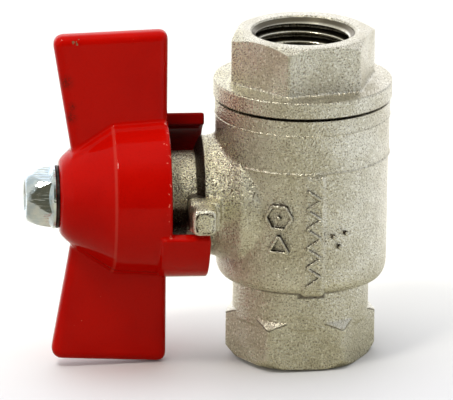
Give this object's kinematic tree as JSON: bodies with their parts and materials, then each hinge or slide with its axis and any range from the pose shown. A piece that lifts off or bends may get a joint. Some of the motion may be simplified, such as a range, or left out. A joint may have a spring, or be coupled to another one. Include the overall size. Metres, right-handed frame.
{
  "type": "ball valve",
  "caption": "Small ball valve with female pipe threads at both ends and a red butterfly handle that turns a quarter turn between open and closed.",
  "frame": {"origin": "centre of the lower pipe end's face, on the pipe axis", "axes": "+Z along the pipe axis from the lower port to the upper port; -X along the stem from the pipe axis to the handle; -Y is the side with the stop lug"},
  "size_m": [0.0473, 0.0239, 0.0445],
  "materials": {
    "plated_forging": "forged brass, nickel plated, finely sparkling satin",
    "black_rubber": "matte",
    "white_seat": "smooth waxy seal plastic",
    "chromed_ball": "polished",
    "bare_brass": "turned",
    "red_paint": "gloss paint on a zinc die casting",
    "dark_washer": "blackened",
    "zinc_nut": "bright zinc plated"
  },
  "bodies": {
    "valve": {"valve_body": "plated_forging", "end_connector": "plated_forging", "connector_seal": "black_rubber", "lower_seat": "white_seat", "upper_seat": "white_seat"},
    "ball": {"ball": "chromed_ball"},
    "handle": {"butterfly_handle": "red_paint", "stem": "bare_brass", "thrust_washer": "white_seat", "inner_o_ring": "black_rubber", "outer_o_ring": "black_rubber", "lock_washer": "dark_washer", "handle_nut": "zinc_nut"}
  },
  "joints": [
    {"name": "handle_turn", "type": "hinge", "parent": "valve", "child": "handle", "pos_m": [-0.02, 0, 0.02125], "axis": [1, 0, 0], "range_deg": [0, 90]},
    {"name": "ball_turn", "type": "hinge", "parent": "valve", "child": "ball", "pos_m": [0, 0, 0.02125], "axis": [1, 0, 0], "range_deg": [0, 90]}
  ],
  "couplings": [
    {"joint": "ball_turn", "follows": "handle_turn", "ratio": 1}
  ]
}
